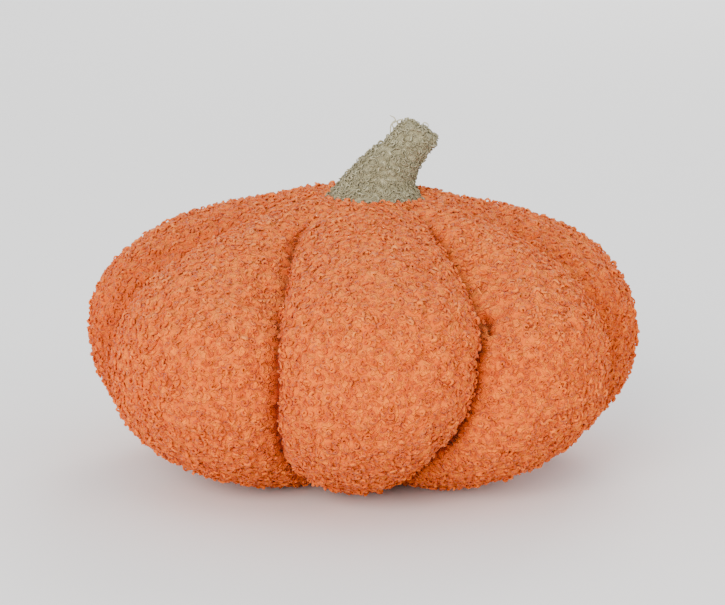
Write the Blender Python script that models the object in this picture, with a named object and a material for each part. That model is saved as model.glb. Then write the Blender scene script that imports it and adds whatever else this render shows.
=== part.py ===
# A stuffed pumpkin of looped fabric: one filled body of seven sewn gores, and a leaning fabric stem.
# Metres, +Z up. It rests on z = 0, its front faces -Y, and its box is centred on the Z axis.

import math
from collections import namedtuple

import bmesh
import bpy
import numpy as np

# Sizes of the body
HALF_WIDTH = 0.1510       # axis to the crown of a gore, at the widest height
WIDEST_HEIGHT = 0.0730    # height of the widest girth
RISE = 0.0765             # from there up to the dome, without the dip round the stem
DROP = 0.0770             # from there down, before the underside is pressed flat
UPPER_SQUARENESS = 2.30   # 2 is an ellipse, more is boxier
LOWER_SQUARENESS = 2.50
DIP_DEPTH = 0.0035        # the stitched-down middle, under the stem
DIP_WIDTH = 0.034
PRESS = 0.0030            # height over which the underside rounds into its flat spot

# Gores, each drawn in at the seams beside it. Azimuths are in degrees, 0 to the front, more to the right.
Seam = namedtuple("Seam", "azimuth top_drift foot_drift depth")
SEAMS = [
    Seam(azimuth=-19.5, top_drift=-11.5, foot_drift=-3.0, depth=0.020),
    Seam(azimuth=25.5, top_drift=13.0, foot_drift=-10.0, depth=0.026),
    Seam(azimuth=71.0, top_drift=5.0, foot_drift=0.0, depth=0.023),
    Seam(azimuth=127.0, top_drift=-2.0, foot_drift=2.0, depth=0.022),
    Seam(azimuth=179.0, top_drift=2.0, foot_drift=-2.0, depth=0.024),
    Seam(azimuth=232.0, top_drift=-3.0, foot_drift=2.0, depth=0.022),
    Seam(azimuth=286.5, top_drift=3.0, foot_drift=-6.0, depth=0.023),
]
# One row for each gore, from its own seam to the next. Fullness scales its girth, lift its rise above
# the widest height and drop its fall below it.
Gore = namedtuple("Gore", "fullness lift drop")
GORES = [
    Gore(fullness=0.990, lift=1.000, drop=0.900),
    Gore(fullness=0.990, lift=0.990, drop=0.985),
    Gore(fullness=1.003, lift=1.000, drop=1.000),
    Gore(fullness=0.998, lift=0.965, drop=0.990),
    Gore(fullness=1.005, lift=1.005, drop=0.990),
    Gore(fullness=1.015, lift=0.990, drop=1.020),
    Gore(fullness=1.020, lift=0.985, drop=0.990),
]
GORE_ROUNDING = 2.3       # how evenly a gore's bow is spread between its seams
SEAM_STEEPNESS = 0.62     # less makes the sides of a seam steeper
SEAM_FADE_IN = 0.045      # distance from the axis where the seams start to draw in, on top
SEAM_FADE_FULL = 0.120
SEAM_FOOT_SHARE = 0.55    # share of a seam's depth that is left under the body

# Sizes of the stem. A section's shift and height are taken from the middle of the foot, and its slant in
# degrees leans it to the right. Depth share is its size front to back, against its size across.
STEM_FOOT_X = 0.0050
STEM_FOOT_Y = -0.0010
STEM_FOOT_RADIUS = 0.0245
STEM_GAP = 0.0003
Section = namedtuple("Section", "shift height radius slant depth_share")
STEM_SECTIONS = [
    Section(shift=0.0004, height=0.0045, radius=0.0236, slant=3.0, depth_share=1.00),
    Section(shift=0.0022, height=0.0090, radius=0.0208, slant=9.0, depth_share=1.00),
    Section(shift=0.0062, height=0.0150, radius=0.0180, slant=17.0, depth_share=0.98),
    Section(shift=0.0112, height=0.0225, radius=0.0161, slant=24.0, depth_share=0.95),
    Section(shift=0.0165, height=0.0305, radius=0.0148, slant=29.0, depth_share=0.92),
    Section(shift=0.0212, height=0.0375, radius=0.0140, slant=30.0, depth_share=0.88),
    Section(shift=0.0238, height=0.0413, radius=0.0124, slant=28.0, depth_share=0.86),
]
STEM_TOP_BULGE = 0.0015

# Colours and finish
ORANGE = (0.80, 0.25, 0.09)
SAGE = (0.36, 0.35, 0.25)
LOOPED_ROUGHNESS = 0.95

# Fineness of the meshes
PROFILE_STEPS = 720
SLOPE_STEP = 1e-4
STEPS_PER_GORE = 16
RINGS = 36
STEM_STEPS = 30
STEM_FOOT_RINGS = 4
STEM_TOP_RINGS = 3


def smooth_step(low, high, value):
    share = np.clip((value - low) / (high - low), 0.0, 1.0)
    return share * share * (3.0 - 2.0 * share)


def crown_profile(turn):
    """Radius and height of a gore's crown, for a turn from 0 at the top to pi underneath."""
    upper = turn < math.pi / 2
    power = np.where(upper, 2.0 / UPPER_SQUARENESS, 2.0 / LOWER_SQUARENESS)
    radius = HALF_WIDTH * np.abs(np.sin(turn)) ** power
    reach = np.where(upper, RISE, -DROP)
    return radius, WIDEST_HEIGHT + reach * np.abs(np.cos(turn)) ** power


def even_turns():
    """Turns that cut the crown's profile into steps of equal length, poles included."""
    fine = np.linspace(0.0, math.pi, PROFILE_STEPS + 1)
    radius, height = crown_profile(fine)
    length = np.concatenate([[0.0], np.cumsum(np.hypot(np.diff(radius), np.diff(height)))])
    return np.interp(np.linspace(0.0, length[-1], RINGS + 1), length, fine)


def pressed(height):
    """The height with the underside pressed flat at 0, rounded over PRESS above and below it."""
    if height > PRESS:
        return height
    if height < -PRESS:
        return 0.0
    return (height + PRESS) ** 2 / (4.0 * PRESS)


def dip(distance):
    return DIP_DEPTH * math.exp(-(distance / DIP_WIDTH) ** 2)


def top_height(x, y):
    """Height of the smooth middle of the body's top, where no seam draws in."""
    distance = math.hypot(x, y)
    rise = (distance / HALF_WIDTH) ** UPPER_SQUARENESS
    return WIDEST_HEIGHT + RISE * (1.0 - rise) ** (1.0 / UPPER_SQUARENESS) - dip(distance)


def seam_azimuth(seam, turn):
    to_top = max(math.cos(turn), 0.0) ** 2
    to_foot = smooth_step(0.0, 1.0, -math.cos(turn))
    return math.radians(seam.azimuth + seam.top_drift * to_top + seam.foot_drift * to_foot)


def seam_depth(seam, turn, radius):
    fade = smooth_step(SEAM_FADE_IN, SEAM_FADE_FULL, radius)
    to_foot = smooth_step(0.0, 1.0, -math.cos(turn))
    return seam.depth * fade * (1.0 - (1.0 - SEAM_FOOT_SHARE) * to_foot)


def ring_points(turn):
    """Points of one ring of the body, gore by gore, a gore's first point lying in its own seam."""
    radius, height = crown_profile(turn)
    ahead_radius, ahead_height = crown_profile(turn + SLOPE_STEP)
    slope = np.array([ahead_radius - radius, ahead_height - height])
    slope /= np.linalg.norm(slope)
    out_radius = -slope[1]
    out_height = slope[0]
    points = []
    for index, gore in enumerate(GORES):
        left = SEAMS[index]
        right = SEAMS[(index + 1) % len(SEAMS)]
        start = seam_azimuth(left, turn)
        width = (seam_azimuth(right, turn) - start) % (2.0 * math.pi)
        for step in range(STEPS_PER_GORE):
            share = 0.5 - 0.5 * math.cos(math.pi * step / STEPS_PER_GORE)
            bow = (1.0 - abs(2.0 * share - 1.0) ** GORE_ROUNDING) ** SEAM_STEEPNESS
            nearer = left if share < 0.5 else right
            sink = seam_depth(nearer, turn, radius) * (1.0 - bow)
            full = 1.0 + (gore.fullness - 1.0) * bow * math.sin(turn)
            stretch = (gore.lift if turn < math.pi / 2 else gore.drop) - 1.0
            stretch *= bow * smooth_step(SEAM_FADE_IN, HALF_WIDTH, radius)
            reach = radius * full - out_radius * sink
            level = WIDEST_HEIGHT + (height - WIDEST_HEIGHT) * (1.0 + stretch) - out_height * sink
            if turn < math.pi / 2:
                level -= dip(radius)
            azimuth = start + width * share
            points.append((reach * math.sin(azimuth), -reach * math.cos(azimuth), pressed(level)))
    return points


def loft(name, start, rings, end):
    """A closed mesh over rings of as many points each, from a pole at the start to one at the end."""
    bm = bmesh.new()
    poles = [bm.verts.new(start), bm.verts.new(end)]
    rows = [[bm.verts.new(point) for point in ring] for ring in rings]
    count = len(rows[0])
    for i in range(count):
        j = (i + 1) % count
        bm.faces.new((poles[0], rows[0][j], rows[0][i]))
        for lower, upper in zip(rows, rows[1:]):
            bm.faces.new((lower[i], lower[j], upper[j], upper[i]))
        bm.faces.new((rows[-1][i], rows[-1][j], poles[1]))
    bmesh.ops.recalc_face_normals(bm, faces=bm.faces)
    bmesh.ops.triangulate(bm, faces=bm.faces)
    mesh = bpy.data.meshes.new(name)
    bm.to_mesh(mesh)
    bm.free()
    mesh.shade_smooth()
    return mesh


def build_body():
    turns = even_turns()
    rings = [ring_points(turn) for turn in reversed(turns[1:-1])]
    return loft("body", (0.0, 0.0, 0.0), rings, (0.0, 0.0, top_height(0.0, 0.0)))


def stem_ring(section):
    """One section of the stem, a leaning ellipse."""
    slant = math.radians(section.slant)
    foot_height = top_height(STEM_FOOT_X, STEM_FOOT_Y)
    points = []
    for step in range(STEM_STEPS):
        angle = 2.0 * math.pi * step / STEM_STEPS
        across = section.radius * math.cos(angle)
        x = STEM_FOOT_X + section.shift + across * math.cos(slant)
        y = STEM_FOOT_Y + section.radius * section.depth_share * math.sin(angle)
        points.append((x, y, foot_height + section.height - across * math.sin(slant)))
    return points


def foot_ring(radius):
    """A ring of the stem's underside, which follows the body a gap above it."""
    points = []
    for step in range(STEM_STEPS):
        angle = 2.0 * math.pi * step / STEM_STEPS
        x = STEM_FOOT_X + radius * math.cos(angle)
        y = STEM_FOOT_Y + radius * math.sin(angle)
        points.append((x, y, top_height(x, y) + STEM_GAP))
    return points


def top_ring(share):
    """A ring of the stem's bulging cut end, from 1 at its rim to 0 at its middle."""
    last = STEM_SECTIONS[-1]
    slant = math.radians(last.slant)
    bulge = STEM_TOP_BULGE * (1.0 - share * share)
    return stem_ring(last._replace(radius=last.radius * share, shift=last.shift + bulge * math.sin(slant),
                                   height=last.height + bulge * math.cos(slant)))


def build_stem():
    rings = [foot_ring(STEM_FOOT_RADIUS * k / STEM_FOOT_RINGS) for k in range(1, STEM_FOOT_RINGS + 1)]
    rings += [stem_ring(section) for section in STEM_SECTIONS]
    rings += [top_ring(1.0 - k / (STEM_TOP_RINGS + 1)) for k in range(1, STEM_TOP_RINGS + 1)]
    start = (STEM_FOOT_X, STEM_FOOT_Y, top_height(STEM_FOOT_X, STEM_FOOT_Y) + STEM_GAP)
    return loft("stem", start, rings, top_ring(0.0)[0])


def looped_fabric(name, colour):
    material = bpy.data.materials.new(name)
    material.use_nodes = True
    shader = material.node_tree.nodes["Principled BSDF"]
    shader.inputs["Base Color"].default_value = (*colour, 1.0)
    shader.inputs["Roughness"].default_value = LOOPED_ROUGHNESS
    shader.inputs["Metallic"].default_value = 0.0
    return material


def add_piece(mesh, material):
    piece = bpy.data.objects.new(mesh.name, mesh)
    mesh.materials.append(material)
    bpy.context.collection.objects.link(piece)
    return piece


def centre_on_axis(pieces):
    """Moves the pieces so that the middle of their common box is on the Z axis."""
    points = np.array([vertex.co for piece in pieces for vertex in piece.data.vertices])
    middle = (points.min(axis=0) + points.max(axis=0)) / 2.0
    for piece in pieces:
        for vertex in piece.data.vertices:
            vertex.co.x -= middle[0]
            vertex.co.y -= middle[1]


def main():
    for old in list(bpy.data.objects):
        bpy.data.objects.remove(old)
    body = add_piece(build_body(), looped_fabric("orange_boucle", ORANGE))
    stem = add_piece(build_stem(), looped_fabric("sage_boucle", SAGE))
    centre_on_axis([body, stem])


main()
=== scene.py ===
import math

import bmesh
import bpy
import numpy as np
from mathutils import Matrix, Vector


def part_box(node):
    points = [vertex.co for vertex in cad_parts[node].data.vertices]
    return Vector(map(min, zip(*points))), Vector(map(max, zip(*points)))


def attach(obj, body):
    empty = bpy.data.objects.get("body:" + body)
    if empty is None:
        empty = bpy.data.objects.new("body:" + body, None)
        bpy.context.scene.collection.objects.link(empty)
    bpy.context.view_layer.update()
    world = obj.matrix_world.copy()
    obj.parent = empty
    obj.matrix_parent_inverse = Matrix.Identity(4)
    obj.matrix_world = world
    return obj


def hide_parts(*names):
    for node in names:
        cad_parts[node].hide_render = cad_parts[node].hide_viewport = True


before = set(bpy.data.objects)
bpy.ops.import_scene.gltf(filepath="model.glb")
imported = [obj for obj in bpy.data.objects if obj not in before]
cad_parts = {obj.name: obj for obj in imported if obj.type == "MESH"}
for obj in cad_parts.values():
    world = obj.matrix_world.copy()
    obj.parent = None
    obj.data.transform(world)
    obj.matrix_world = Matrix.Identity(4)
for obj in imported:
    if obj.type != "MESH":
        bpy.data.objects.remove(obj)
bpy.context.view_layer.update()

# The looks of a stuffed pumpkin of looped fabric. Its curls are real meshes, scattered over a puffed-up
# body and stem by Geometry Nodes. Metres, +Z up, the front faces -Y.

# Seams of the body, as azimuths in degrees at the widest height, 0 to the front and more to the right,
# with how far they drift towards the top and the foot
seams = {
    "azimuth": [-19.5, 25.5, 71.0, 127.0, 179.0, 232.0, 286.5],
    "topDrift": [-11.5, 13.0, 5.0, -2.0, 2.0, -3.0, 3.0],
    "footDrift": [-3.0, -10.0, 0.0, 2.0, -2.0, 2.0, -6.0],
    "stemDrift": [-7.0, 0.0, 0.0, 0.0, 0.0, 0.0, 0.0],    # past the solid's crease, close to the stem
    "leans": [0.0, 3.2, 4.0, 0.0, 0.0, 0.0, -3.0],        # the front gores bulge over their outer seams
    "leanHeight": [0.102, 0.102, 0.050, 0.050, 0.050, 0.050, 0.045],
    "leanSpread": [0.030, 0.030, 0.035, 0.035, 0.035, 0.035, 0.030],
    "leanWidth": 18.0,        # degrees
    "pulls": [0.0, 0.0, 0.0110, 0.0, 0.0, 0.0, 0.0120],   # seams that the thread pulls deeper than the solid's
    "pullWidth": 0.0150,
    "pullFull": 0.100,        # distance from the axis where the pull is full
    "widestHeight": 0.0730,
    "rise": 0.0765,
    "drop": 0.0770,
    "heldWidth": 0.0060,      # half width of the strip that the thread holds while the gores puff up
    "heldFade": 2.2,          # where the hold has ended, in such half widths
    "fadeIn": 0.035,          # distance from the axis where a seam starts to show, on top
    "fadeFull": 0.075,
    # short folds beside a seam: which seam, how far beside it, from which height and to which
    "puckers": [(1, 0.0048, 0.094, 0.106)],
    "puckerFade": 0.003,
    "puckerShut": 0.008,
    "channelDepth": 0.0024,   # how far the thread pulls the cloth in, past the crease between the gores
    "channelWidth": 0.0038,
    "lineReach": 0.0014,      # points this near move onto the thread's line, and sink deeper
    "lineDepth": 0.0042,
    "bareWidth": 0.0015,      # half width of the strip along the thread where no curl grows
    "shadeWidth": 0.0025,     # of the strip in the dark
    "shortWidth": 0.0055,     # and of the strip where the curls are squeezed smaller
    # how much light is lost to the left and right of each seam, and how far from it
    "dimLeft": [0.12, 0.10, 0.10, 0.25, 0.25, 0.25, 0.78],
    "dimRight": [0.10, 0.14, 0.55, 0.25, 0.25, 0.25, 0.10],
    "dimWidth": [0.007, 0.007, 0.026, 0.009, 0.009, 0.009, 0.030],
}

cover = {
    "pileRoom": 0.0015,       # the cloth lies this far inside the solid, and the curls fill the rest
    "voxel": 0.0045,          # edge length of the cloth's faces, before the last subdivision
    "startIn": 0.0018,        # the cloth starts this much smaller and is puffed up to size
    "pressure": 60.0,
    "growth": 0.014,          # how much more cloth there is than the solid's surface, which puckers it
    "stiffness": 1.0,
    "pointMass": 0.003,
    "frames": 20,
    "mostMove": 0.0060,       # no point moves further than this
    "clumpSize": 0.0098,
    "clumpHeight": 0.0017,
    "swellSize": 0.034,
    "swellHeight": 0.0010,
    "sheenFrom": 0.15,         # the upwards part of the normal between which the colour goes over to a paler painted sheen
    "sheenTo": 0.95,
    "restHeight": 0.0004,     # how far the cloth's flat foot is above the surface, on its curls
}

stemCover = {
    "pileRoom": 0.0016,
    "voxel": 0.0022,
    "startIn": 0.0006,
    "pressure": 40.0,
    "growth": 0.020,
    "stiffness": 1.0,
    "pointMass": 0.003,
    "frames": 12,
    "mostMove": 0.0016,
    "clumpSize": 0.0066,
    "clumpHeight": 0.0006,
    "swellSize": 0.018,
    "swellHeight": 0.0006,
    "heldFrom": 0.002,        # heights over its foot between which the seam's hold on it fades
    "heldTo": 0.010,
    "sunk": 0.0022,           # its foot goes this far down into the body's pile
    "footFlare": 0.0030,      # and spreads this far over it, and further to the left, right and front
    "footLeft": 0.0022,
    "footRight": 0.0030,
    "footFront": 0.0056,
    "frontDrop": 0.4,         # the front follows the gore down, by this share of its spread
    "footFromLeft": 0.0245,   # where the foot's middle is, from the left side of the solid
    "footHalf": 0.017,        # no curl of the body grows this near to it
    "taperFrom": 0.45,        # share of the height where the tip starts to narrow
    "tipTaper": 0.93,
    "tipDepth": 0.008,
    "tipShift": (0.0030, 0.0, -0.0022),
}

bodyCurls = {
    "Spacing": 0.00288,
    "Curl Radius": 0.00142,
    "Yarn Radius": 0.00066,
    "Lean": 0.45,             # most tilt of a curl, in radians
    "Lift Low": 0.0001,
    "Lift High": 0.0011,
    "Pile Height": 0.0026,
    "Kink": 0.0009,
    "Clump Size": cover["clumpSize"],
    "Patch Size": 0.055,      # size of the patches that are a little lighter or darker
    "Bare Width": seams["bareWidth"],
    "Shade Width": seams["shadeWidth"],
    "Short Width": seams["shortWidth"],
    "Seed": 11,
}

stemCurls = {
    "Spacing": 0.00150,
    "Curl Radius": 0.00128,
    "Yarn Radius": 0.00040,
    "Lean": 0.80,
    "Lift Low": 0.0001,
    "Lift High": 0.0008,
    "Pile Height": 0.0021,
    "Kink": 0.0010,
    "Clump Size": stemCover["clumpSize"],
    "Patch Size": 0.020,
    "Bare Width": 0.0,
    "Shade Width": 0.0001,
    "Short Width": 0.0001,
    "Seed": 5,
}


# Wires and trees

class Wire:
    # a node socket that takes part in sums, so that 1 - mask adds its Math node
    def __init__(self, socket):
        self.socket = socket
        self.tree = socket.id_data

    def math(self, operation, *values, clamp=False):
        return addNode(self.tree, "ShaderNodeMath", {"operation": operation, "use_clamp": clamp},
                       {index: value for index, value in enumerate(values)})

    def __add__(self, other):
        return self.math("ADD", self, other)

    __radd__ = __add__

    def __sub__(self, other):
        return self.math("SUBTRACT", self, other)

    def __rsub__(self, other):
        return self.math("SUBTRACT", other, self)

    def __mul__(self, other):
        return self.math("MULTIPLY", self, other)

    __rmul__ = __mul__

    def __truediv__(self, other):
        return self.math("DIVIDE", self, other)

    def __rtruediv__(self, other):
        return self.math("DIVIDE", other, self)

    def __pow__(self, other):
        return self.math("POWER", self, other)

    def exp(self):
        return self.math("EXPONENT", self)

    def clamped(self):
        return self.math("ADD", self, 0.0, clamp=True)

    def out(self, name):
        # another output of the same node
        return Wire(pickSocket(self.socket.node.outputs, name))


def pickSocket(sockets, key):
    if isinstance(key, int):
        return sockets[key]
    return next(socket for socket in sockets if socket.name == key and socket.enabled)


def addNode(tree, kind, settings=None, inputs=None):
    # adds a node, with its settings first and then the values or wires of its sockets
    node = tree.nodes.new(kind)
    for name, value in (settings or {}).items():
        if name == "stops":
            setStops(node.color_ramp, value)
        else:
            setattr(node, name, value)
    for key, value in (inputs or {}).items():
        socket = pickSocket(node.inputs, key)
        for one in value if isinstance(value, list) else [value]:
            if isinstance(one, Wire):
                tree.links.new(one.socket, socket)
            else:
                socket.default_value = one
    shown = [socket for socket in node.outputs if socket.enabled]
    return Wire(shown[0]) if shown else node


def setStops(ramp, stops):
    while len(ramp.elements) < len(stops):
        ramp.elements.new(0.5)
    for element, (place, colour) in zip(ramp.elements, stops):
        element.position = place
        element.color = (*colour, 1.0)


def setInputs(modifier, values):
    # a modifier's inputs go by their sockets' identifiers
    for item in modifier.node_group.interface.items_tree:
        if item.item_type == "SOCKET" and item.in_out == "INPUT" and item.name in values:
            modifier[item.identifier] = values[item.name]


clumps = {
    "bendScale": 170.0,       # the noise that bends the troughs between the clumps, per metre
    "bendReach": 0.006,
    "steepness": 4.4,         # the larger, the narrower the troughs
    "roundness": 0.9,
}


def clumpTops(tree, place, size):
    # 1 on the clumps of the pile and 0 in the troughs between them, the same in a tree of either kind
    bent = addNode(tree, "ShaderNodeTexNoise", None,
                   {"Vector": place, "Scale": clumps["bendScale"], "Detail": 1.0}).out("Color")
    place = addNode(tree, "ShaderNodeVectorMath", {"operation": "MULTIPLY_ADD"},
                    {0: bent, 1: (clumps["bendReach"],) * 3, 2: place})
    edge = addNode(tree, "ShaderNodeTexVoronoi", {"feature": "DISTANCE_TO_EDGE"},
                   {"Vector": place, "Scale": 1.0 / size}).out("Distance")
    return (edge * clumps["steepness"]).clamped() ** clumps["roundness"]


# Cloth

def mergedCopy(nodeName, name):
    # the CAD node as one connected mesh
    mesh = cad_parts[nodeName].data.copy()
    work = bmesh.new()
    work.from_mesh(mesh)
    bmesh.ops.remove_doubles(work, verts=work.verts, dist=1e-5)
    work.to_mesh(mesh)
    work.free()
    mesh.name = name
    piece = bpy.data.objects.new(name, mesh)
    bpy.context.scene.collection.objects.link(piece)
    return piece


def applied(piece):
    # gives the piece the mesh that its modifiers make, and takes them off
    mesh = bpy.data.meshes.new_from_object(piece.evaluated_get(bpy.context.evaluated_depsgraph_get()))
    piece.modifiers.clear()
    piece.data = mesh
    return piece


def placesOf(mesh):
    places = np.empty(len(mesh.vertices) * 3, np.float32)
    mesh.vertices.foreach_get("co", places)
    return places.reshape(-1, 3).astype(np.float64)


def normalsOf(mesh):
    normals = np.empty(len(mesh.vertices) * 3, np.float32)
    mesh.vertices.foreach_get("normal", normals)
    return normals.reshape(-1, 3).astype(np.float64)


def setPlaces(mesh, places):
    mesh.vertices.foreach_set("co", places.astype(np.float32).ravel())
    mesh.update()


def smoothStep(low, high, values):
    share = np.clip((values - low) / (high - low), 0.0, 1.0)
    return share * share * (3.0 - 2.0 * share)


def bodyAxis():
    # the body's pole, the point where most of its edges meet, which its gores turn round
    body = mergedCopy("body", "axisFinder")
    work = bmesh.new()
    work.from_mesh(body.data)
    pole = max(work.verts, key=lambda point: len(point.link_edges)).co.copy()
    work.free()
    bpy.data.objects.remove(body)
    return pole.x, pole.y


axisX, axisY = bodyAxis()


def leansAt(height):
    # how far every seam leans at each height, in degrees, one column a seam
    away = (height[:, None] - np.array(seams["leanHeight"])) / np.array(seams["leanSpread"])
    return np.array(seams["leans"]) * np.exp(-away ** 2)


def turned(places, angle):
    # the points turned round the body's axis, by an angle each
    x = places[:, 0] - axisX
    y = places[:, 1] - axisY
    return np.stack([axisX + x * np.cos(angle) - y * np.sin(angle),
                     axisY + x * np.sin(angle) + y * np.cos(angle), places[:, 2]], axis=1)


def leant(places):
    # the body's points once the bulging gores have pushed their seams aside and the thread is pulled tight
    azimuth = np.degrees(np.arctan2(places[:, 0] - axisX, -(places[:, 1] - axisY)))
    away = (azimuth[:, None] - np.array(seams["azimuth"]) + 180.0) % 360.0 - 180.0
    angle = (leansAt(places[:, 2]) * np.exp(-(away / seams["leanWidth"]) ** 2)).sum(axis=1)
    places = turned(places, np.radians(angle))
    _, seam, way, distance = aroundBody(places)
    depth = np.array(seams["pulls"])[seam] * np.exp(-(way / seams["pullWidth"]) ** 2)
    depth *= smoothStep(seams["fadeIn"], seams["pullFull"], distance)
    places[:, 0] -= (places[:, 0] - axisX) / distance * depth
    places[:, 1] -= (places[:, 1] - axisY) / distance * depth
    return places


def seamAzimuths(places):
    # the azimuth of every seam at each point's height, in radians, one column a seam
    above = places[:, 2:3] - seams["widestHeight"]
    toTop = np.clip(above / seams["rise"], 0.0, 1.0) ** 2    # as the solid's seams drift
    toFoot = smoothStep(0.0, 1.0, -above / seams["drop"])
    degrees = np.array(seams["azimuth"]) + toTop * np.array(seams["topDrift"]) \
        + toTop ** 2 * np.array(seams["stemDrift"]) + toFoot * np.array(seams["footDrift"]) \
        + leansAt(places[:, 2])
    return np.radians(degrees)


def aroundBody(places):
    # each point's gore, its nearest seam, its way along the ring to that seam and its distance from the axis
    x = places[:, 0] - axisX
    y = places[:, 1] - axisY
    distance = np.hypot(x, y)
    turn = (np.arctan2(x, -y)[:, None] - seamAzimuths(places) + math.pi) % (2.0 * math.pi) - math.pi
    seam = np.abs(turn).argmin(axis=1)
    nearest = np.take_along_axis(turn, seam[:, None], axis=1)[:, 0]
    gore = np.where(nearest >= 0.0, seam, (seam - 1) % len(seams["azimuth"]))
    return gore, seam, nearest * distance, np.maximum(distance, 1e-6)


def heldBySeam(places):
    # 1 on a seam, fading to 0 beside it and near the stem
    _, _, way, distance = aroundBody(places)
    near = 1.0 - smoothStep(seams["heldWidth"], seams["heldWidth"] * seams["heldFade"], np.abs(way))
    return near * smoothStep(seams["fadeIn"], seams["fadeFull"], distance)


def puffUp(piece, held, look):
    # the filling presses the cloth out from inside, while the thread holds it at the points in held
    before = placesOf(piece.data)
    group = piece.vertex_groups.new(name="held")
    for index in np.flatnonzero(held > 0.02):
        group.add([int(index)], float(held[index]), "REPLACE")
    cloth = piece.modifiers.new("puff", "CLOTH")
    cloth.settings.use_pressure = True
    cloth.settings.uniform_pressure_force = look["pressure"]
    cloth.settings.shrink_min = -look["growth"]
    cloth.settings.mass = look["pointMass"]
    cloth.settings.tension_stiffness = look["stiffness"]
    cloth.settings.compression_stiffness = look["stiffness"]
    cloth.settings.shear_stiffness = look["stiffness"]
    cloth.settings.effector_weights.gravity = 0.0
    cloth.settings.vertex_group_mass = group.name
    cloth.collision_settings.use_collision = False
    cloth.settings.quality = 6
    cloth.point_cache.frame_end = look["frames"]
    for step in range(1, look["frames"] + 1):
        bpy.context.scene.frame_set(step)
    applied(piece)
    piece.vertex_groups.clear()
    move = placesOf(piece.data) - before
    length = np.linalg.norm(move, axis=1, keepdims=True)
    most = look["mostMove"]
    setPlaces(piece.data, before + move * np.tanh(length / most) * most / np.maximum(length, 1e-9))
    bpy.context.scene.frame_set(1)
    print(f"{piece.name} puffed up by {length.mean() * 1000:.1f} mm on average")


def coverMesh(nodeName, name, look, held, shaped=None):
    # the solid's surface as even cloth, a little smaller, puffed up where it isn't held
    piece = mergedCopy(nodeName, name)
    if shaped:
        setPlaces(piece.data, shaped(placesOf(piece.data)))
    remesh = piece.modifiers.new("even", "REMESH")
    remesh.mode = "VOXEL"
    remesh.voxel_size = look["voxel"]
    applied(piece)
    inwards = look["pileRoom"] + look["startIn"]
    setPlaces(piece.data, placesOf(piece.data) - normalsOf(piece.data) * inwards)
    puffUp(piece, held(placesOf(piece.data)), look)
    finer = piece.modifiers.new("finer", "SUBSURF")
    finer.levels = finer.render_levels = 1
    applied(piece)
    return piece


def lumpTree():
    # the soft unevenness of a hand-filled cover: broad swells, and clumps of pile parted by thin troughs
    tree = bpy.data.node_groups.new("lumps", "GeometryNodeTree")
    tree.interface.new_socket("Geometry", in_out="INPUT", socket_type="NodeSocketGeometry")
    for label in ("Clump Size", "Clump Height", "Swell Size", "Swell Height"):
        tree.interface.new_socket(label, in_out="INPUT", socket_type="NodeSocketFloat")
    tree.interface.new_socket("Geometry", in_out="OUTPUT", socket_type="NodeSocketGeometry")
    given = addNode(tree, "NodeGroupInput")
    place = addNode(tree, "GeometryNodeInputPosition")
    swell = addNode(tree, "ShaderNodeTexNoise", None,
                    {"Vector": place, "Scale": 1.0 / given.out("Swell Size"), "Detail": 1.0})
    height = (clumpTops(tree, place, given.out("Clump Size")) - 0.7) * given.out("Clump Height") \
        + (swell * 2.0 - 1.0) * given.out("Swell Height")
    offset = addNode(tree, "ShaderNodeVectorMath", {"operation": "SCALE"},
                     {"Vector": addNode(tree, "GeometryNodeInputNormal"), "Scale": height})
    moved = addNode(tree, "GeometryNodeSetPosition", None, {"Geometry": given, "Offset": offset})
    addNode(tree, "NodeGroupOutput", None, {"Geometry": moved})
    return tree


def makeLumpy(piece, look):
    modifier = piece.modifiers.new("lumps", "NODES")
    modifier.node_group = lumpsTree
    setInputs(modifier, {"Clump Size": look["clumpSize"], "Clump Height": look["clumpHeight"],
                         "Swell Size": look["swellSize"], "Swell Height": look["swellHeight"]})
    applied(piece)


def keep(mesh, name, values):
    layer = mesh.attributes.new(name, "INT" if values.dtype == np.int32 else "FLOAT", "POINT")
    layer.data.foreach_set("value", values)


def markMesh(mesh, way, shown, light, faded):
    # for the curls and the materials: how far each point lies from its seam, where seams show,
    # how much light the gores beside it let through, and how much paler painted sheen the top gets
    for name, values in (("way", way), ("shown", shown), ("light", light), ("faded", faded)):
        keep(mesh, name, values.astype(np.float32))


def buildBodyCover():
    piece = coverMesh("body", "pumpkinBody", cover, heldBySeam, leant)
    mesh = piece.data
    places = placesOf(mesh)
    _, seam, way, distance = aroundBody(places)
    fade = seams["puckerFade"]
    for which, aside, low, high in seams["puckers"]:
        inside = smoothStep(low - fade, low + fade, places[:, 2])
        inside *= 1.0 - smoothStep(high - fade, high + fade, places[:, 2])
        besides = np.where(seam == which, way - aside, 1.0)
        besides += np.sign(besides) * seams["puckerShut"] * (1.0 - inside)
        way = np.where(np.abs(besides) < np.abs(way), besides, way)
    shown = smoothStep(seams["fadeIn"], seams["fadeFull"], distance)
    onLine = (np.abs(way) < seams["lineReach"]) & (shown > 0.02)
    drawn = turned(places, np.where(onLine, -way / distance, 0.0))
    way = np.where(onLine, 0.0, way)
    depth = (seams["channelDepth"] * np.exp(-(way / seams["channelWidth"]) ** 2)
             + seams["lineDepth"] * onLine) * shown
    setPlaces(mesh, drawn - normalsOf(mesh) * depth[:, None])
    makeLumpy(piece, cover)
    places = placesOf(piece.data)
    places[:, 2] = np.maximum(places[:, 2], cover["restHeight"])
    setPlaces(piece.data, places)
    dim = np.where(way < 0.0, np.array(seams["dimLeft"])[seam], np.array(seams["dimRight"])[seam])
    light = 1.0 - dim * shown * np.exp(-(way / np.array(seams["dimWidth"])[seam]) ** 2)
    # painted sheen: cloth that faces upwards is given a paler colour
    faded = smoothStep(cover["sheenFrom"], cover["sheenTo"], normalsOf(piece.data)[:, 2])
    markMesh(piece.data, way, shown, light, faded)
    piece.data.shade_smooth()
    return piece


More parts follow.
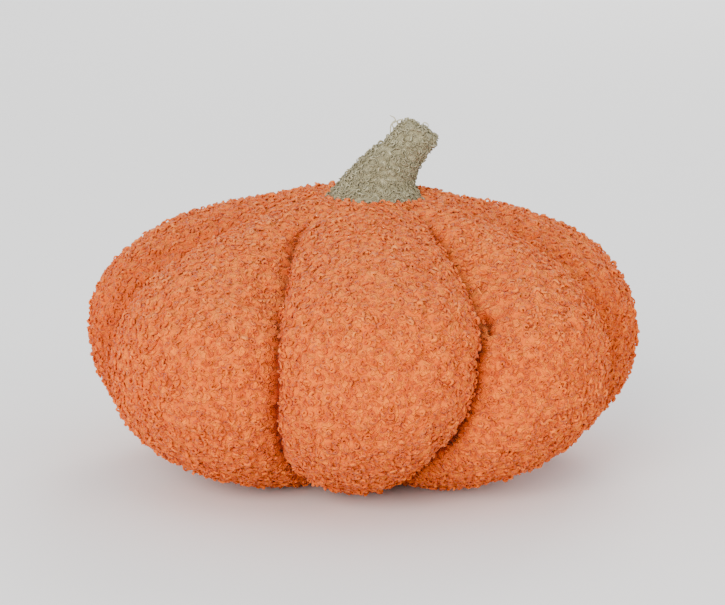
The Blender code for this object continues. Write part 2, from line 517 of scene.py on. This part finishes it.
def buildStemCover():
    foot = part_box("stem")[0][2]

    def heldAtFoot(places):
        return 1.0 - smoothStep(foot + stemCover["heldFrom"], foot + stemCover["heldTo"], places[:, 2])

    piece = coverMesh("stem", "pumpkinStem", stemCover, heldAtFoot)
    makeLumpy(piece, stemCover)
    places = placesOf(piece.data)
    atFoot = heldAtFoot(places)
    middle = places[places[:, 2] < foot + stemCover["heldTo"]].mean(axis=0)
    outwards = places[:, :2] - middle[:2]
    outwards /= np.maximum(np.linalg.norm(outwards, axis=1, keepdims=True), 1e-6)
    toFront = np.maximum(-outwards[:, 1], 0.0)
    flare = stemCover["footFlare"] + stemCover["footLeft"] * np.maximum(-outwards[:, 0], 0.0) \
        + stemCover["footRight"] * np.maximum(outwards[:, 0], 0.0) + stemCover["footFront"] * toFront
    places[:, :2] += outwards * (flare * atFoot)[:, None]
    drop = stemCover["sunk"] + stemCover["pileRoom"] + stemCover["frontDrop"] * stemCover["footFront"] * toFront
    places[:, 2] -= drop * atFoot
    tip = places[places[:, 2] > places[:, 2].max() - stemCover["tipDepth"]].mean(axis=0)
    nearTip = smoothStep(stemCover["taperFrom"], 1.0, (places[:, 2] - foot) / (tip[2] - foot))[:, None]
    places[:, :2] += (tip[:2] - places[:, :2]) * (1.0 - stemCover["tipTaper"]) * nearTip
    places += np.array(stemCover["tipShift"]) * nearTip
    setPlaces(piece.data, places)
    none = np.zeros(len(places))
    markMesh(piece.data, none + 1.0, none, none + 1.0, none)
    piece.data.shade_smooth()
    return piece


# Curls

def curlShapes(tree, radius, yarn):
    # the few shapes that a looped yarn takes, as tubes with three sides, some of thicker yarn than others
    around = addNode(tree, "GeometryNodeSplineParameter")

    def point(x, y, z):
        return addNode(tree, "ShaderNodeCombineXYZ", None, {"X": radius * x, "Y": radius * y, "Z": radius * z})

    routes = [
        (1.00, addNode(tree, "GeometryNodeCurveSpiral", None,
                       {"Resolution": 7, "Rotations": 1.5, "Start Radius": radius * 0.30,
                        "End Radius": radius, "Height": radius * -0.75})),
        (1.10, addNode(tree, "GeometryNodeCurveArc", {"mode": "RADIUS"},
                       {"Resolution": 8, "Radius": radius * 0.72, "Sweep Angle": math.radians(290.0)})),
        (1.05, addNode(tree, "GeometryNodeCurvePrimitiveBezierSegment", None,
                       {"Resolution": 8, "Start": point(-1.1, -0.5, -0.6), "Start Handle": point(-0.6, 2.3, 0.9),
                        "End Handle": point(0.6, -2.3, 0.9), "End": point(1.1, 0.5, -0.6)})),
        (1.00, addNode(tree, "GeometryNodeCurveSpiral", None,
                       {"Resolution": 7, "Rotations": 1.3, "Start Radius": radius * 0.45,
                        "End Radius": radius * 1.05, "Height": radius * -0.45})),
    ]
    tubes = []
    for thickness, route in routes:
        profile = addNode(tree, "GeometryNodeCurvePrimitiveCircle", {"mode": "RADIUS"},
                          {"Resolution": 3, "Radius": yarn * thickness})
        profile = addNode(tree, "GeometryNodeStoreNamedAttribute", {"data_type": "FLOAT", "domain": "POINT"},
                          {"Geometry": profile, "Name": "around", "Value": around})
        tube = addNode(tree, "GeometryNodeCurveToMesh", None,
                       {"Curve": route, "Profile Curve": profile, "Fill Caps": True})
        tubes.append(addNode(tree, "GeometryNodeGeometryToInstance", None, {"Geometry": tube}))
    return addNode(tree, "GeometryNodeJoinGeometry", None, {"Geometry": tubes}), len(tubes)


def curlTree(name):
    # scatters curls over the faces of one gore, and keeps each curl's tone and how high its yarn lies, lowered
    # where painted shade falls in the seams and the troughs between the clumps
    tree = bpy.data.node_groups.new(name, "GeometryNodeTree")
    tree.interface.new_socket("Geometry", in_out="INPUT", socket_type="NodeSocketGeometry")
    for label in ("Spacing", "Curl Radius", "Yarn Radius", "Lean", "Lift Low", "Lift High", "Pile Height",
                  "Kink", "Clump Size", "Patch Size", "Bare Width", "Shade Width", "Short Width"):
        tree.interface.new_socket(label, in_out="INPUT", socket_type="NodeSocketFloat")
    tree.interface.new_socket("Gore", in_out="INPUT", socket_type="NodeSocketInt")
    tree.interface.new_socket("Seed", in_out="INPUT", socket_type="NodeSocketInt")
    tree.interface.new_socket("Material", in_out="INPUT", socket_type="NodeSocketMaterial")
    tree.interface.new_socket("Geometry", in_out="OUTPUT", socket_type="NodeSocketGeometry")
    given = addNode(tree, "NodeGroupInput")
    seed = given.out("Seed")

    def draw(kind, low, high, shift):
        return addNode(tree, "FunctionNodeRandomValue", {"data_type": kind},
                       {"Min": low, "Max": high, "Seed": seed + shift})

    here = addNode(tree, "GeometryNodeInputNamedAttribute", {"data_type": "INT"}, {"Name": "gore"})
    wanted = addNode(tree, "FunctionNodeCompare", {"data_type": "INT", "operation": "EQUAL"},
                     {"A": here, "B": given.out("Gore")})
    spread = addNode(tree, "GeometryNodeDistributePointsOnFaces", {"distribute_method": "POISSON"},
                     {"Mesh": given, "Selection": wanted, "Distance Min": given.out("Spacing"),
                      "Density Max": 4.0e5, "Seed": seed})    # the spacing is what limits them
    lift = draw("FLOAT", given.out("Lift Low"), given.out("Lift High"), 1)
    offset = addNode(tree, "ShaderNodeVectorMath", {"operation": "SCALE"},
                     {"Vector": spread.out("Normal"), "Scale": lift})
    points = addNode(tree, "GeometryNodeSetPosition", None, {"Geometry": spread, "Offset": offset})
    lean = given.out("Lean")
    tilt = addNode(tree, "ShaderNodeVectorMath", {"operation": "MULTIPLY"},
                   {0: draw("FLOAT_VECTOR", (-1.0, -1.0, 0.0), (1.0, 1.0, 1.0), 2),
                    1: addNode(tree, "ShaderNodeCombineXYZ", None, {"X": lean, "Y": lean, "Z": 2.0 * math.pi})})
    turned = addNode(tree, "FunctionNodeRotateRotation", {"rotation_space": "LOCAL"},
                     {"Rotation": spread.out("Rotation"),
                      "Rotate By": addNode(tree, "FunctionNodeEulerToRotation", None, {"Euler": tilt})})
    way = addNode(tree, "GeometryNodeInputNamedAttribute", {"data_type": "FLOAT"}, {"Name": "way"})
    way = way.math("ABSOLUTE", way)
    shown = addNode(tree, "GeometryNodeInputNamedAttribute", {"data_type": "FLOAT"}, {"Name": "shown"})
    grows = addNode(tree, "FunctionNodeCompare", {"data_type": "FLOAT", "operation": "GREATER_THAN"},
                    {"A": way + (1.0 - shown), "B": given.out("Bare Width")})
    short = 1.0 - 0.45 * shown * (1.0 - way / given.out("Short Width")).clamped()
    scale = addNode(tree, "ShaderNodeVectorMath", {"operation": "SCALE"},
                    {"Vector": draw("FLOAT_VECTOR", (0.80, 0.80, 0.85), (1.30, 1.30, 1.25), 4), "Scale": short})
    shapes, count = curlShapes(tree, given.out("Curl Radius"), given.out("Yarn Radius"))
    curls = addNode(tree, "GeometryNodeInstanceOnPoints", None,
                    {"Points": points, "Selection": grows, "Instance": shapes, "Pick Instance": True,
                     "Instance Index": draw("INT", 0, count - 1, 3), "Rotation": turned,
                     "Scale": scale})
    patches = addNode(tree, "ShaderNodeTexNoise", None, {"Scale": 1.0 / given.out("Patch Size"), "Detail": 1.0})
    faded = addNode(tree, "GeometryNodeInputNamedAttribute", {"data_type": "FLOAT"}, {"Name": "faded"})
    # a curl's tone varies at random and by patches, and goes paler where sheen is painted on the top
    tone = (draw("FLOAT", 0.0, 1.0, 5) * 0.34 + patches * 0.22 + faded * 0.44).clamped()
    curls = addNode(tree, "GeometryNodeStoreNamedAttribute", {"data_type": "FLOAT", "domain": "INSTANCE"},
                    {"Geometry": curls, "Name": "tone", "Value": tone})
    # little light gets down to the thread
    seamShade = 1.0 - 0.85 * shown * (-1.0 * (way / given.out("Shade Width")) ** 2.0).exp()
    light = addNode(tree, "GeometryNodeInputNamedAttribute", {"data_type": "FLOAT"}, {"Name": "light"})
    curls = addNode(tree, "GeometryNodeStoreNamedAttribute", {"data_type": "FLOAT", "domain": "INSTANCE"},
                    {"Geometry": curls, "Name": "open", "Value": seamShade * light})
    real = addNode(tree, "GeometryNodeRealizeInstances", None, {"Geometry": curls})
    # kinks about 3 mm apart
    kinks = addNode(tree, "ShaderNodeTexNoise", None, {"Scale": 360.0, "Detail": 0.0}).out("Color")
    kinks = addNode(tree, "ShaderNodeVectorMath", {"operation": "SUBTRACT"}, {0: kinks, 1: (0.5, 0.5, 0.5)})
    kinks = addNode(tree, "ShaderNodeVectorMath", {"operation": "SCALE"},
                    {"Vector": kinks, "Scale": given.out("Kink") * 2.0})
    real = addNode(tree, "GeometryNodeSetPosition", None, {"Geometry": real, "Offset": kinks})
    ground = addNode(tree, "GeometryNodeProximity", {"target_element": "FACES"}, {"Geometry": given})
    # painted shade: yarn that lies lower in the pile is given a darker colour
    height = (ground.out("Distance") / given.out("Pile Height")).clamped()
    kept = {label: addNode(tree, "GeometryNodeInputNamedAttribute", {"data_type": "FLOAT"}, {"Name": label})
            for label in ("tone", "around", "open")}
    # and into the troughs between the clumps
    clear = clumpTops(tree, addNode(tree, "GeometryNodeInputPosition"), given.out("Clump Size"))
    height = height * kept["open"] * (clear * 0.9 + 0.1)
    place = addNode(tree, "ShaderNodeCombineXYZ", None,
                    {"X": kept["tone"] * 0.94 + kept["around"] * 0.04 + 0.01, "Y": height * 0.96 + 0.02})
    mapped = addNode(tree, "GeometryNodeStoreNamedAttribute", {"data_type": "FLOAT2", "domain": "CORNER"},
                     {"Geometry": real, "Name": "OFBake", "Value": place})
    smooth = addNode(tree, "GeometryNodeSetShadeSmooth", None, {"Geometry": mapped})
    dyed = addNode(tree, "GeometryNodeSetMaterial", None, {"Geometry": smooth, "Material": given.out("Material")})
    addNode(tree, "NodeGroupOutput", None, {"Geometry": dyed})
    return tree


def growCurls(ground, name, look, gore, material, lowest):
    # one piece of curls over a gore, pressed flat where it would reach below the surface it stands on
    piece = bpy.data.objects.new(name, ground.data)
    bpy.context.scene.collection.objects.link(piece)
    modifier = piece.modifiers.new("curls", "NODES")
    modifier.node_group = curlsTree
    setInputs(modifier, {**look, "Gore": gore, "Material": material})
    applied(piece)
    mesh = piece.data
    for spare in ("tone", "around", "gore", "open", "way", "shown", "light", "faded"):
        if spare in mesh.attributes:
            mesh.attributes.remove(mesh.attributes[spare])
    places = placesOf(mesh)
    places[:, 2] = np.maximum(places[:, 2], lowest)
    setPlaces(mesh, places)
    mesh.materials.clear()
    mesh.materials.append(material)
    mesh.calc_loop_triangles()
    print(f"{name}: {len(mesh.loop_triangles)} triangles")
    return piece


stray = {
    "yarn": 0.00034,
    "sides": 5,
    "steps": 9,
    # each yarn as points from the stem's tip, sideways, backwards and up, in millimetres
    "routes": [[(-11.5, -3.0, -3.0), (-11.0, -4.0, 1.6), (-8.8, -4.6, 3.2), (-9.4, -4.4, 5.4), (-11.8, -4.2, 6.6)],
               [(-7.0, -2.0, 0.5), (-7.6, -3.0, 3.4), (-5.2, -3.6, 4.2), (-3.8, -3.0, 2.2), (-4.6, -1.5, 0.4)],
               [(-9.5, 2.0, -1.5), (-10.4, 2.6, 1.4), (-8.4, 3.0, 2.8), (-7.4, 2.4, 0.6)],
               [(8.6, -2.0, -6.0), (10.8, -3.2, -5.2), (11.6, -3.0, -7.6), (9.6, -2.6, -9.0)],
               [(5.0, 2.5, -1.0), (6.6, 2.2, 1.8), (8.8, 2.0, 0.8), (8.4, 1.6, -2.2)]],
}


def strayYarns(mesh, tip):
    # adds the few yarns that have worked loose at the stem's tip to the mesh of its curls
    work = bmesh.new()
    work.from_mesh(mesh)
    layer = work.loops.layers.uv["OFBake"]
    for number, route in enumerate(stray["routes"]):
        stops = [Vector(stop) / 1000.0 + tip for stop in route]
        stops = [stops[0] * 2.0 - stops[1], *stops, stops[-1] * 2.0 - stops[-2]]
        line = []
        for index in range(1, len(stops) - 2):
            a, b, c, d = stops[index - 1:index + 3]
            last = index == len(stops) - 3
            for step in range(stray["steps"] + last):
                t = step / stray["steps"]
                line.append(0.5 * (2.0 * b + (c - a) * t + (2.0 * a - 5.0 * b + 4.0 * c - d) * t ** 2
                                   + (3.0 * b - a - 3.0 * c + d) * t ** 3))
        rings = []
        side = Vector((0.0, 1.0, 0.0))
        for index, place in enumerate(line):
            along = (line[min(index + 1, len(line) - 1)] - line[max(index - 1, 0)]).normalized()
            side = (side - along * side.dot(along)).normalized()
            across = along.cross(side)
            thin = stray["yarn"] * (1.0 - 0.5 * (index / len(line)) ** 4)
            rings.append([work.verts.new(place + (side * math.cos(turn) + across * math.sin(turn)) * thin)
                          for turn in (2.0 * math.pi * corner / stray["sides"]
                                       for corner in range(stray["sides"]))])
        faces = [work.faces.new(list(reversed(rings[0]))), work.faces.new(rings[-1])]
        for near, far in zip(rings, rings[1:]):
            for corner in range(stray["sides"]):
                after = (corner + 1) % stray["sides"]
                faces.append(work.faces.new([near[corner], near[after], far[after], far[corner]]))
        for face in faces:
            face.smooth = True
            for loop in face.loops:
                loop[layer].uv = (0.45 + 0.1 * number, 0.95)
    work.to_mesh(mesh)
    work.free()


# Materials

def fabricMaterial(name, sheen, sheenTint):
    material = bpy.data.materials.new(name)
    material.use_nodes = True
    shader = material.node_tree.nodes["Principled BSDF"]
    shader.inputs["Roughness"].default_value = 0.95
    shader.inputs["Sheen Weight"].default_value = sheen
    shader.inputs["Sheen Roughness"].default_value = 0.55
    shader.inputs["Sheen Tint"].default_value = (*sheenTint, 1.0)
    shader.inputs["Specular IOR Level"].default_value = 0.15
    return material, material.node_tree, shader


def yarnMaterial(name, look):
    # a curl's colour goes by its own tone, and painted shade darkens it towards the cloth that it grows from, in
    # the seams and in the troughs between the clumps
    material, tree, shader = fabricMaterial(name, *look["yarnSheen"])
    place = addNode(tree, "ShaderNodeUVMap", {"uv_map": "OFBake"})
    parts = addNode(tree, "ShaderNodeSeparateXYZ", None, {"Vector": place})
    colour = addNode(tree, "ShaderNodeValToRGB", {"stops": look["yarnTones"]}, {"Fac": parts.out("X")})
    shade = (1.0 - parts.out("Y")).clamped() ** 1.6 * look["paintedShadeShare"]
    colour = addNode(tree, "ShaderNodeMix", {"data_type": "RGBA"},
                     {"Factor": shade, "A": colour, "B": (*look["root"], 1.0)})
    tree.links.new(colour.socket, shader.inputs["Base Color"])
    return material


def groundMaterial(name, look, clumpSize):
    # the cloth between the curls: tight small loops as bump, with painted shade in the hollows between them,
    # lighter on their tops
    material, tree, shader = fabricMaterial(name, *look["clothSheen"])
    loopSize = look["loopSize"]
    place = addNode(tree, "ShaderNodeTexCoord").out("Object")
    clear = clumpTops(tree, place, clumpSize)
    way = addNode(tree, "ShaderNodeAttribute", {"attribute_name": "way"}).out("Fac")
    shown = addNode(tree, "ShaderNodeAttribute", {"attribute_name": "shown"}).out("Fac")
    light = addNode(tree, "ShaderNodeAttribute", {"attribute_name": "light"}).out("Fac")
    # painted shade: darker in the troughs between the clumps, beside the seams and along the thread
    clear = (clear * 0.35 + 0.65) * light
    clear = clear * (1.0 - shown * (-1.0 * (way * way) / seams["shadeWidth"] ** 2).exp())
    bent = addNode(tree, "ShaderNodeTexNoise", None,
                   {"Vector": place, "Scale": 1.1 / loopSize, "Detail": 1.0}).out("Color")
    place = addNode(tree, "ShaderNodeVectorMath", {"operation": "MULTIPLY_ADD"},
                    {0: bent, 1: (loopSize * 0.9,) * 3, 2: place})
    cell = addNode(tree, "ShaderNodeTexVoronoi", {"feature": "F1"}, {"Vector": place, "Scale": 1.0 / loopSize})
    reach = cell.out("Distance")
    knob = 1.0 - (reach * 0.92).clamped() ** 2.0
    coil = (reach * 17.0).math("COSINE", reach * 17.0) * 0.5 + 0.5
    height = knob * (coil * 0.30 + 0.70)
    # painted shade: the hollows between the loops darker, their tops lighter
    colour = addNode(tree, "ShaderNodeValToRGB", {"stops": look["clothTones"]},
                     {"Fac": (height * 1.25 * clear).clamped()})
    faded = addNode(tree, "ShaderNodeAttribute", {"attribute_name": "faded"}).out("Fac")
    # painted sheen: the tops of the loops go paler on the top of the body
    colour = addNode(tree, "ShaderNodeMix", {"data_type": "RGBA"},
                     {"Factor": faded * height * 0.6, "A": colour, "B": (*look["paintedSheenTone"], 1.0)})
    bump = addNode(tree, "ShaderNodeBump", None, {"Height": height, "Strength": 1.0, "Distance": loopSize * 0.6})
    tree.links.new(colour.socket, shader.inputs["Base Color"])
    tree.links.new(bump.socket, shader.inputs["Normal"])
    return material


orangeBoucle = {
    # from the front's colours to the paler ones of the top, which are painted sheen
    "yarnTones": [(0.0, (0.90, 0.158, 0.004)), (0.40, (0.92, 0.200, 0.006)), (1.0, (0.68, 0.248, 0.060))],
    # painted shade: the dark colour that a yarn takes low in the pile, in the seams and in the troughs between the
    # clumps
    "root": (0.46, 0.045, 0.003),
    "paintedShadeShare": 0.85,        # how far a yarn takes on the painted shade's colour where it meets the cloth
    "yarnSheen": (0.12, (0.90, 0.80, 0.80)),
    # from the painted shade of the seams to the tops of the cloth's loops, with painted shade in the hollows
    # between the loops
    "clothTones": [(0.0, (0.26, 0.017, 0.003)), (0.12, (0.50, 0.062, 0.004)), (0.50, (0.72, 0.120, 0.006)),
                   (1.0, (0.87, 0.185, 0.010))],
    "paintedSheenTone": (0.62, 0.190, 0.038),
    "loopSize": 0.0036,
    "clothSheen": (0.05, (1.0, 0.70, 0.55)),
}

sageBoucle = {
    "yarnTones": [(0.0, (0.35, 0.325, 0.205)), (0.5, (0.41, 0.385, 0.255)), (1.0, (0.51, 0.485, 0.345))],
    # painted shade: the dark colour that a yarn takes low in the pile
    "root": (0.17, 0.14, 0.07),
    "paintedShadeShare": 0.85,
    "yarnSheen": (0.12, (1.0, 0.97, 0.90)),
    "clothTones": [(0.0, (0.10, 0.085, 0.045)), (0.5, (0.25, 0.225, 0.13)), (1.0, (0.38, 0.345, 0.21))],
    "paintedSheenTone": (0.38, 0.345, 0.21),
    "loopSize": 0.0027,
    "clothSheen": (0.10, (1.0, 0.97, 0.90)),
}

orangeYarn = yarnMaterial("orangeYarn", orangeBoucle)
orangeGround = groundMaterial("orangeGround", orangeBoucle, cover["clumpSize"])
sageYarn = yarnMaterial("sageYarn", sageBoucle)
sageGround = groundMaterial("sageGround", sageBoucle, stemCover["clumpSize"])


# Pieces

lumpsTree = lumpTree()
bodyCover = buildBodyCover()
bodyCover.data.materials.clear()
bodyCover.data.materials.append(orangeGround)
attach(bodyCover, "root")
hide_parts("body")
print(f"body cover: {len(bodyCover.data.polygons)} faces")

stemCoverPiece = buildStemCover()
stemCoverPiece.data.materials.clear()
stemCoverPiece.data.materials.append(sageGround)
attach(stemCoverPiece, "root")
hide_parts("stem")
print(f"stem cover: {len(stemCoverPiece.data.polygons)} faces")

curlsTree = curlTree("curls")
bodyPlaces = placesOf(bodyCover.data)
goreOf = aroundBody(bodyPlaces)[0]
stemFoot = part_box("stem")
underStem = np.hypot(bodyPlaces[:, 0] - (stemFoot[0][0] + stemCover["footFromLeft"]),
                     bodyPlaces[:, 1] - axisY) < stemCover["footHalf"]
underStem &= bodyPlaces[:, 2] > seams["widestHeight"]
keep(bodyCover.data, "gore", np.where(underStem, -1, goreOf).astype(np.int32))
for gore in range(len(seams["azimuth"])):
    curls = growCurls(bodyCover, f"goreCurls{gore + 1}", bodyCurls, gore, orangeYarn, 0.0)
    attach(curls, "root")

keep(stemCoverPiece.data, "gore", np.zeros(len(stemCoverPiece.data.vertices), np.int32))
curls = growCurls(stemCoverPiece, "stemCurls", stemCurls, 0, sageYarn, 0.0)
stemPlaces = placesOf(stemCoverPiece.data)
stemTip = stemPlaces[stemPlaces[:, 2] > stemPlaces[:, 2].max() - 0.006].mean(axis=0)
strayYarns(curls.data, Vector(stemTip))
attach(curls, "root")


# Stage, light and camera

studio = {
    "aim": (0.0, 0.0, 0.0900),
    "turnsAround": (0.0, 0.0, 0.0745),
    "elevation": 12.5,
    "distance": 1.30,
    "pixelsPerMetre": 1840.0,
    "imageWidth": 725,
    "floorHalf": 6.0,
    "floorColour": (0.86, 0.86, 0.86),
    "worldColour": (0.95, 0.975, 1.0),
    "worldStrength": 1.25,
    # each lamp's name, place, size, power and colour
    "lamps": [("keyLight", (-1.6, -3.9, 1.8), 2.5, 250.0, (1.0, 0.94, 0.87)),
              ("fillLight", (3.4, -2.6, 1.6), 2.4, 60.0, (1.0, 0.96, 0.92)),
              ("backLight", (1.0, 4.0, 2.8), 2.4, 120.0, (1.0, 0.96, 0.92))],
    "lampAim": (0.0, 0.0, 0.08),
}


def buildStudio():
    floor = bpy.data.meshes.new("floor")
    half = studio["floorHalf"]
    floor.from_pydata([(-half, -half, 0.0), (half, -half, 0.0), (half, half, 0.0), (-half, half, 0.0)], [],
                      [(0, 1, 2, 3)])
    floorPiece = bpy.data.objects.new("floor", floor)
    bpy.context.scene.collection.objects.link(floorPiece)
    pale = bpy.data.materials.new("paleFloor")
    pale.use_nodes = True
    shader = pale.node_tree.nodes["Principled BSDF"]
    shader.inputs["Base Color"].default_value = (*studio["floorColour"], 1.0)
    shader.inputs["Roughness"].default_value = 0.9
    floor.materials.append(pale)
    world = bpy.data.worlds.new("studioWorld")
    world.use_nodes = True
    sky = world.node_tree.nodes["Background"]
    sky.inputs["Color"].default_value = (*studio["worldColour"], 1.0)
    sky.inputs["Strength"].default_value = studio["worldStrength"]
    bpy.context.scene.world = world
    for name, place, size, power, colour in studio["lamps"]:
        lamp = bpy.data.lights.new(name, "AREA")
        lamp.color = colour
        lamp.size = size
        lamp.energy = power
        lampPiece = bpy.data.objects.new(name, lamp)
        lampPiece.location = place
        aim = Vector(studio["lampAim"]) - Vector(place)
        lampPiece.rotation_euler = aim.to_track_quat("-Z", "Y").to_euler()
        bpy.context.scene.collection.objects.link(lampPiece)


def buildCamera():
    elevation = math.radians(studio["elevation"])
    place = Vector(studio["turnsAround"]) + studio["distance"] * Vector((0.0, -math.cos(elevation),
                                                                       math.sin(elevation)))
    lens = bpy.data.cameras.new("camera")
    lens.sensor_width = 36.0
    lens.lens = studio["pixelsPerMetre"] * studio["distance"] / studio["imageWidth"] * lens.sensor_width
    camera = bpy.data.objects.new("camera", lens)
    camera.location = place
    camera.rotation_euler = (Vector(studio["aim"]) - place).to_track_quat("-Z", "Y").to_euler()
    bpy.context.scene.collection.objects.link(camera)
    bpy.context.scene.camera = camera


buildStudio()
buildCamera()
